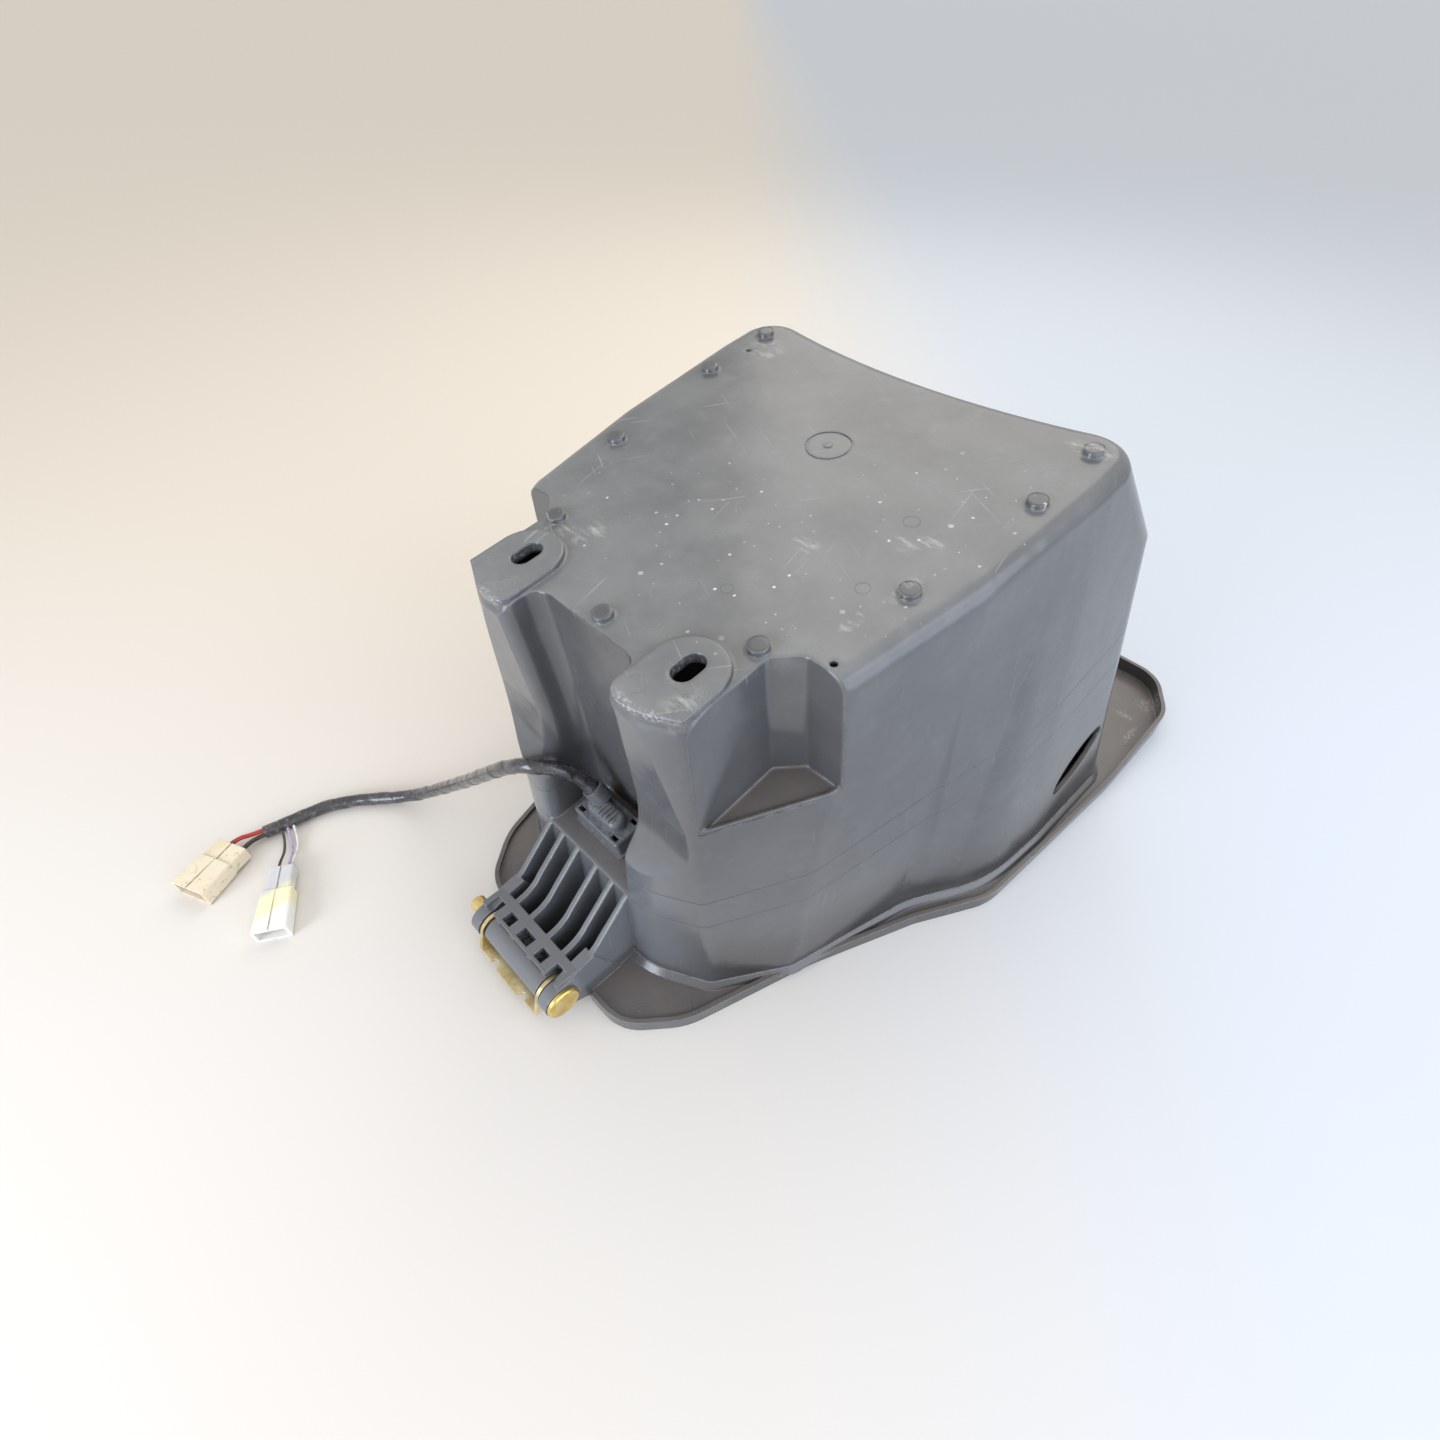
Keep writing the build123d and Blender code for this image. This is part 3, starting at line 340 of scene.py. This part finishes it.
def zinc_passivated_steel(name, bright, deep, pink):
    """Pressed or turned steel, zinc plated and yellow passivated: a gold film that drifts towards
    pink and green, dulled where it was handled."""
    material, add, shader, place = start_material(name)
    drift = add("TexNoise", {"Vector": place, "Scale": 1 / 9, "Detail": 4, "Roughness": 0.6})
    drifted = add("MapRange", (drift, 0.35, 0.65), **SMOOTH)
    base = add("Mix", {0: drifted, 6: bright, 7: deep}, **COLOURS)
    blush = add("TexNoise", {"Vector": place, "Scale": 1 / 5, "Detail": 3, "Roughness": 0.5})
    blush = add("MapRange", (blush, 0.5, 0.7, 0.0, 0.55), **SMOOTH)
    base = add("Mix", {0: blush, 6: base, 7: pink}, **COLOURS)
    stain = add("TexNoise", {"Vector": place, "Scale": 1 / 2.2, "Detail": 6, "Roughness": 0.7})
    stain = add("MapRange", (stain, 0.6, 0.75), **SMOOTH)
    base = add("Mix", {0: add("Math", (stain, 0.5), **TIMES), 6: base, 7: "#5e4a30"}, **COLOURS)
    edges = add("Math", (worn_edge(add, 0.5), 0.6), **TIMES)
    base = add("Mix", {0: edges, 6: base, 7: "#f4ecd0"}, **COLOURS)
    rough = add("Math", (drift, 0.22, 0.20), **TIMES_PLUS)
    rough = add("Math", (stain, 0.3, rough), **TIMES_PLUS)
    drawn = add("VectorMath", (place, (1, 6, 6)), **TIMES)
    grain = add("TexNoise", {"Vector": drawn, "Scale": 1 / 0.6, "Detail": 3, "Roughness": 0.6})
    soft_edges = add("Bevel", (0.3 * MM,), samples=6)
    bump = add("Bump", {"Height": add("Math", (grain, 0.015), **TIMES), "Distance": MM,
                        "Normal": soft_edges})
    connect(material, shader, Base_Color=base, Metallic=0.9, Roughness=rough, Normal=bump)
    return material


def lamp_plastic():
    """Moulded black ABS of the lamp, its base lightened to mid grey partly by dust and partly as
    painted light: a semi-gloss skin with grey dust settled on its top.
    """
    material, add, shader, place = start_material("moulded_abs")
    up = add("SeparateXYZ", (add("NewGeometry", (), out="Normal"),), out="Z")
    grime = add("TexNoise", {"Vector": place, "Scale": 1 / 3, "Detail": 6, "Roughness": 0.7})
    grime = add("MapRange", (grime, 0.4, 0.7), **SMOOTH)
    settled = add("Math", (add("MapRange", (up, 0.5, 0.98, 0.0, 0.6), **SMOOTH), grime), **TIMES)
    # Mid grey base: partly dust, partly painted light on the black plastic.
    base = add("Mix", {0: settled, 6: "#5c5f65", 7: "#84847f"}, **COLOURS)
    edges = add("Math", (worn_edge(add, 0.5), 0.5), **TIMES)
    base = add("Mix", {0: edges, 6: base, 7: "#8a8c90"}, **COLOURS)
    rough = add("Math", (grime, 0.25, 0.22), **TIMES_PLUS)
    skin = add("TexNoise", {"Vector": place, "Scale": 1 / 1.2, "Detail": 3, "Roughness": 0.5})
    soft_edges = add("Bevel", (0.4 * MM,), samples=6)
    bump = add("Bump", {"Height": add("Math", (skin, 0.03), **TIMES), "Distance": MM,
                        "Normal": soft_edges})
    connect(material, shader, Base_Color=base, Roughness=rough, Normal=bump)
    return material


def diffuser():
    """Opal polycarbonate of the lamp lens: white, glossy and slightly translucent."""
    material, add, shader, place = start_material("opal_polycarbonate")
    milky = add("TexNoise", {"Vector": place, "Scale": 1 / 8, "Detail": 3})
    base = add("Mix", {0: milky, 6: "#e8e8e2", 7: "#d9d8ce"}, **COLOURS)
    connect(material, shader, Base_Color=base, Roughness=0.22, IOR=1.58, Subsurface_Weight=0.3,
            Subsurface_Scale=2 * MM)
    return material


BULB_MIDDLE_X = -2.8


def bulb_glass():
    """Blown glass of the festoon bulb with plated end caps: clear in the middle, metal at the
    ends."""
    material, add, shader, place = start_material("blown_glass")
    along = add("Math", (add("SeparateXYZ", (place,), out="X"), -BULB_MIDDLE_X), **PLUS)
    cap = add("MapRange", (add("Math", (along,), **UNSIGNED), 7.2, 7.8), **SMOOTH)
    base = add("Mix", {0: cap, 6: "#f2f4f4", 7: "#b9b6ac"}, **COLOURS)
    clear = add("MapRange", (cap, 0.0, 1.0, 0.95, 0.0))
    connect(material, shader, Base_Color=base, Metallic=cap, Transmission_Weight=clear,
            Roughness=0.08)
    return material


def brass_strip():
    """Stamped brass strip of the contacts and terminals: bright, browned a little."""
    material, add, shader, place = start_material("stamped_brass")
    browned = add("TexNoise", {"Vector": place, "Scale": 1 / 4, "Detail": 4, "Roughness": 0.6})
    browned = add("MapRange", (browned, 0.4, 0.7), **SMOOTH)
    base = add("Mix", {0: browned, 6: "#d8bd78", 7: "#a5813f"}, **COLOURS)
    connect(material, shader, Base_Color=base, Metallic=1.0, Roughness=0.3)
    return material


def harness_tape():
    """Spiral-wound PVC tape: glossy black film, smoky where it was stretched, with pale patches of
    dirt and browned by dust towards its end."""
    material, add, shader, place = start_material("wound_pvc_tape")
    smoke = add("TexNoise", {"Vector": place, "Scale": 1 / 10, "Detail": 5, "Roughness": 0.6})
    smoky = add("MapRange", (smoke, 0.4, 0.7), **SMOOTH)
    base = add("Mix", {0: smoky, 6: "#2a2a2d", 7: "#4a4a4d"}, **COLOURS)
    dirt = add("TexNoise", {"Vector": place, "Scale": 1 / 2.5, "Detail": 6, "Roughness": 0.75})
    dirt = add("MapRange", (dirt, 0.52, 0.72), **SMOOTH)
    base = add("Mix", {0: add("Math", (dirt, 0.5), **TIMES), 6: base, 7: "#77726a"}, **COLOURS)
    x = add("SeparateXYZ", (place,), out="X")
    end = add("Math", (add("MapRange", (x, -168.0, -184.0, 0.15, 0.75), **SMOOTH), dirt), **TIMES)
    base = add("Mix", {0: end, 6: base, 7: "#6d6152"}, **COLOURS)
    rough = add("Math", (smoke, 0.22, 0.12), **TIMES_PLUS)
    rough = add("Math", (dirt, 0.22, rough), **TIMES_PLUS)
    stretched = add("VectorMath", (place, (1, 1, 2)), **TIMES)
    folds = add("TexNoise", {"Vector": stretched, "Scale": 1 / 1.6, "Detail": 4,
                             "Roughness": 0.6})
    sags = add("TexNoise", {"Vector": place, "Scale": 1 / 6, "Detail": 2, "Roughness": 0.5})
    relief = add("Math", (sags, 0.6, add("Math", (folds, 0.25), **TIMES)), **TIMES_PLUS)
    bump = add("Bump", {"Height": relief, "Distance": MM})
    connect(material, shader, Base_Color=base, Roughness=rough, IOR=1.53, Coat_Weight=0.6,
            Coat_Roughness=0.10, Normal=bump)
    return material


def wire_pvc(name, light, dark):
    """Extruded PVC insulation: smooth, satin gloss, a little grimy."""
    material, add, shader, place = start_material(name)
    grime = add("TexNoise", {"Vector": place, "Scale": 1 / 4, "Detail": 4, "Roughness": 0.6})
    grime = add("MapRange", (grime, 0.45, 0.7), **SMOOTH)
    base = add("Mix", {0: grime, 6: light, 7: dark}, **COLOURS)
    connect(material, shader, Base_Color=base, Roughness=0.34, IOR=1.53)
    return material


def natural_nylon(name, fresh, aged, mouth, ageing_x, grime, smutted):
    """Moulded natural nylon of the connectors: waxy and a little see-through, yellowed by heat,
    with grime and painted shade in its corners. ageing_x gives where along X its tone goes from
    fresh to aged and on to that of its mouth, and smutted how much dirt lies on its flats."""
    material, add, shader, place = start_material(name)
    x = add("SeparateXYZ", (place,), out="X")
    heated = add("MapRange", (x, *ageing_x[:2]), **SMOOTH)
    base = add("Mix", {0: heated, 6: fresh, 7: aged}, **COLOURS)
    at_mouth = add("MapRange", (x, *ageing_x[2:]), **SMOOTH)
    base = add("Mix", {0: at_mouth, 6: base, 7: mouth}, **COLOURS)
    # Grime and painted shade in the corners: an occlusion mask, broken into blotches, darkens
    # them.
    corner = add("AmbientOcclusion", {"Distance": 4 * MM}, out="AO", samples=8)
    blotches = add("TexNoise", {"Vector": place, "Scale": 1 / 2, "Detail": 5, "Roughness": 0.7})
    corner_grime_and_shade = add("Math", (add("MapRange", (corner, 0.80, 0.25), **SMOOTH),
                        add("MapRange", (blotches, 0.3, 0.6, 0.0, 0.75), **SMOOTH)), **TIMES)
    base = add("Mix", {0: corner_grime_and_shade, 6: base, 7: grime}, **COLOURS)
    smut = add("TexNoise", {"Vector": place, "Scale": 1 / 3.5, "Detail": 6, "Roughness": 0.7})
    smut = add("MapRange", (smut, 0.55, 0.72, 0.0, smutted), **SMOOTH)
    base = add("Mix", {0: smut, 6: base, 7: grime}, **COLOURS)
    soft_edges = add("Bevel", (0.4 * MM,), samples=6)
    connect(material, shader, Base_Color=base, Roughness=0.36, IOR=1.53, Subsurface_Weight=0.25,
            Subsurface_Scale=2.5 * MM, Normal=soft_edges)
    return material


# ---- harness ----------------------------------------------------------------------------------

HARNESS_ROUTE = ((-12.0, -153.4, 85.2), (-17.5, -157.0, 95.5), (-21.5, -164.5, 104.5),
                 (-30.0, -174.5, 108.5), (-43.0, -180.5, 102.0), (-62.0, -184.5, 84.0),
                 (-84.0, -188.0, 62.0), (-106.0, -191.5, 41.0), (-127.0, -197.0, 22.0),
                 (-144.0, -205.5, 9.0), (-158.0, -218.0, 4.4), (-171.0, -233.0, 4.2),
                 (-181.0, -251.0, 4.2), (-184.0, -270.0, 4.2), (-187.0, -285.0, 4.2))
WIRE_ROUTES = {
    "red_wire": ((-188.324, -284.735, 5.1), (-189.403, -290.128, 5.1), (-192.693, -300.042, 6.1),
                 (-188.678, -308.652, 6.1)),
    "black_wire": ((-185.921, -285.216, 3.5), (-186.8, -289.61, 3.5), (-183.811, -295.901, 6.1),
                   (-179.796, -304.511, 6.1)),
    "violet_wire": ((-180.4, -273.63, 4.2), (-174.5, -274.8, 3.8), (-164.0, -278.0, 1.8),
                    (-155.0, -282.918, 5.2), (-146.428, -288.068, 5.2)),
    "thin_black_wire": ((-181.1, -276.82, 4.2), (-175.2, -278.0, 3.6), (-166.8, -282.2, 1.6),
                        (-157.884, -287.718, 5.2), (-149.312, -292.868, 5.2)),
    "pale_wire": ((-179.7, -270.27, 4.2), (-173.8, -271.2, 3.8), (-163.6, -274.9, 2.0),
                  (-154.176, -281.546, 5.2), (-145.604, -286.697, 5.2))}
THICK_WIRE = 1.35      # radius
THIN_WIRE = 0.75       # radius
HARNESS_RADIUS = 4.1
TAPE_INSET = 0.42      # the tape's lowest layer lies this far inside that radius
TAPE_PITCH = 17.0      # each turn of tape moves on by this much
TAPE_STEP = 0.34       # the edge of each turn stands this proud
EDGE_SHARE = 0.06      # share of a turn over which that edge rises
LINE_STEP = 0.7        # from one ring of the wrap's points to the next
AROUND = 32            # points in a ring


def route_curve(name, route, radius=0.0):
    """Smooth curve led by the route's points, with a round section if radius is given."""
    curve = bpy.data.curves.new(name, "CURVE")
    curve.dimensions = "3D"
    curve.resolution_u = 24
    curve.bevel_depth = radius * MM
    curve.bevel_resolution = 5
    curve.use_fill_caps = bool(radius)
    spline = curve.splines.new("NURBS")
    spline.points.add(len(route) - 1)
    for point, place in zip(spline.points, route):
        point.co = (*[value * MM for value in place], 1.0)
    spline.order_u = 3
    spline.use_endpoint_u = True
    piece = bpy.data.objects.new(name, curve)
    bpy.context.scene.collection.objects.link(piece)
    return piece


def route_line(name, route):
    """Points along the smooth curve of a route, at most LINE_STEP apart, in metres."""
    guide = route_curve(name + "_guide", route)
    bpy.context.view_layer.update()
    mesh = bpy.data.meshes.new_from_object(guide)
    coarse = [vertex.co.copy() for vertex in mesh.vertices]
    bpy.data.objects.remove(guide)
    line = [coarse[0]]
    for point in coarse[1:]:
        while (point - line[-1]).length > LINE_STEP * MM:
            line.append(line[-1] + (point - line[-1]).normalized() * LINE_STEP * MM)
    line.append(coarse[-1])
    return line


def taped_harness():
    """Harness wrapped in a spiral of tape, and the line it follows."""
    line = route_line("harness", HARNESS_ROUTE)
    side = Vector((0, 0, 1)).cross(line[1] - line[0]).normalized()
    points, faces, run = [], [], 0.0
    for i, centre in enumerate(line):
        ahead = (line[min(i + 1, len(line) - 1)] - line[max(i - 1, 0)]).normalized()
        side = (side - ahead * side.dot(ahead)).normalized()
        up = ahead.cross(side)
        if i:
            run += (centre - line[i - 1]).length / MM
        swell = 0.10 * sin(run * 0.21) + 0.07 * sin(run * 0.53 + 1.0)
        for k in range(AROUND):
            angle = 2 * pi * k / AROUND
            lap = (run / TAPE_PITCH - k / AROUND) % 1.0
            edge = TAPE_STEP * (1.0 - lap) if lap > EDGE_SHARE else TAPE_STEP * lap / EDGE_SHARE
            wrinkle = 0.06 * sin(7 * angle + run * 0.9) * sin(run * 0.37)
            radius = HARNESS_RADIUS - TAPE_INSET + edge + wrinkle + swell
            points.append(centre + (side * cos(angle) + up * sin(angle)) * radius * MM)
    for i in range(len(line) - 1):
        for k in range(AROUND):
            here, there = i * AROUND + k, i * AROUND + (k + 1) % AROUND
            faces.append((here, there, there + AROUND, here + AROUND))
    faces.append(tuple(reversed(range(AROUND))))
    faces.append(tuple(range((len(line) - 1) * AROUND, len(line) * AROUND)))
    mesh = bpy.data.meshes.new("harness_wrap")
    mesh.from_pydata(points, [], faces)
    for polygon in mesh.polygons:
        polygon.use_smooth = len(polygon.vertices) == 4
    piece = bpy.data.objects.new("harness_wrap", mesh)
    bpy.context.scene.collection.objects.link(piece)
    return piece, line


def length_of(line):
    """Length of a line of points."""
    return sum((b - a).length for a, b in zip(line, line[1:]))


# ---- stage ------------------------------------------------------------------------------------

FLOOR = 15.0      # half the side of the floor, in metres, so that no edge of it shows

# Lamps: name, place, the point it aims at, width and power, then its tint.
LAMPS = (("window", (1.05, 0.10, 0.40), (0.0, 0.05, 0.12), 1.3, 11.5, "#dce9ff"),
         ("ceiling", (-0.35, 0.75, 1.05), (0.0, 0.0, 0.10), 1.0, 4.5, "#fffaf2"),
         ("side", (-0.05, -1.15, 0.36), (0.0, -0.1, 0.12), 0.5, 8.0, "#e6eeff"))


def painted_table():
    """Painted board: matt and nearly white, warm towards the back left, and bluer to the right as
    painted cool light.
    """
    material, add, shader, place = start_material("painted_table")
    x, y = [add("SeparateXYZ", (place,), out=axis) for axis in "XY"]
    to_back_left = add("MapRange", (add("Math", (y, x), **MINUS), -250.0, 420.0), **SMOOTH)
    tone = add("Mix", {0: to_back_left, 6: "#dbd6cf", 7: "#e2d9cc"}, **COLOURS)
    # Painted cool light: the board turns bluer towards the right.
    to_right = add("MapRange", (add("Math", (x, y), **PLUS), -150.0, 480.0), **SMOOTH)
    tone = add("Mix", {0: to_right, 6: tone, 7: "#cdd3db"}, **COLOURS)
    connect(material, shader, Base_Color=tone, Roughness=0.55, Specular_IOR_Level=0.2)
    return material


def table_and_light():
    """Pale table and soft lamps, in a room that is brighter at the front right."""
    mesh = bpy.data.meshes.new("table")
    mesh.from_pydata([(-FLOOR, -FLOOR, 0), (FLOOR, -FLOOR, 0), (FLOOR, FLOOR, 0),
                      (-FLOOR, FLOOR, 0)], [], [(0, 1, 2, 3)])
    mesh.materials.append(painted_table())
    table = bpy.data.objects.new("table", mesh)
    bpy.context.scene.collection.objects.link(table)

    world = bpy.data.worlds.new("studio")
    bpy.context.scene.world = world
    world.use_nodes = True
    world.node_tree.nodes.clear()
    add = partial(put, world.node_tree)
    toward = add("VectorMath", (add("TexCoord", (), out="Generated"), (0.80, -0.60, 0.0)), **DOT)
    strength = add("MapRange", (toward, -1.0, 1.0, 0.78, 1.12))
    sky = add("Background", {"Color": "#f6f5f3", "Strength": strength})
    add("OutputWorld", (sky,), out=None)

    for name, place, aim, width, power, tint in LAMPS:
        light = bpy.data.lights.new(name, "AREA")
        light.size = width
        light.energy = power
        light.color = colour(tint)[:3]
        lamp = bpy.data.objects.new(name, light)
        bpy.context.scene.collection.objects.link(lamp)
        lamp.location = place
        lamp.rotation_euler = (Vector(aim) - Vector(place)).to_track_quat("-Z", "Y").to_euler()


# ---- the model --------------------------------------------------------------------------------

camera()
table_and_light()
bpy.context.scene.view_settings.view_transform = "Standard"

ivory = natural_nylon("ivory_nylon", "#e4d8be", "#ddcfb0", "#e8dfca",
                      (-184.0, -190.0, -196.0, -206.0), "#7d6e57", 0.60)
clear = natural_nylon("clear_nylon", "#cbcccd", "#f0e8c2", "#eeeee8",
                      (-142.0, -135.0, -130.0, -120.0), "#a89f86", 0.15)
brass = brass_strip()
finishes = {
    "tub": polypropylene(),
    "hinge_bracket": zinc_passivated_steel("yellow_passivated_sheet", "#e6d9ae", "#c4b17e",
                                           "#d8b69b"),
    "hinge_pin": zinc_passivated_steel("yellow_passivated_bar", "#dfcb80", "#c8aa58", "#d6aea0"),
    "lamp_housing": lamp_plastic(),
    "lamp_lens": diffuser(),
    "lamp_bulb": bulb_glass(),
    "lamp_contact_left": brass,
    "lamp_contact_right": brass,
    "main_connector_housing": ivory,
    "branch_connector_housing": clear,
    "main_terminal_red": brass,
    "main_terminal_black": brass,
    "branch_terminal_a": brass,
    "branch_terminal_b": brass}
for name, finish in finishes.items():
    nodes[name].data.materials.clear()
    nodes[name].data.materials.append(finish)

wrap, wrap_line = taped_harness()
wrap.data.materials.append(harness_tape())
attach(wrap, TUB)
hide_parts("harness_cable")

wire_finishes = {
    "red_wire": ("red_pvc", wire_pvc("red_pvc", "#b8342c", "#8d2620"), THICK_WIRE),
    "black_wire": ("black_pvc", wire_pvc("black_pvc", "#3a322c", "#221c18"), THICK_WIRE),
    "violet_wire": ("violet_pvc", wire_pvc("violet_pvc", "#b9a3c4", "#9b86a8"), THIN_WIRE),
    "thin_black_wire": ("black_pvc", wire_pvc("brown_pvc", "#4a4038", "#2c2621"), THIN_WIRE),
    "pale_wire": ("pale_pvc", wire_pvc("pale_pvc", "#dcd8d2", "#bdb7ac"), THIN_WIRE)}
for name, (slot, finish, radius) in wire_finishes.items():
    wire = route_curve(name.replace("_wire", "_lead"), WIRE_ROUTES[name], radius)
    wire.data.materials.append(finish)
    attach(wire, TUB)
    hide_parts(name)

for name in ("violet_wire", "thin_black_wire", "pale_wire"):
    route = WIRE_ROUTES[name]
    length_of(route_line(name, route))
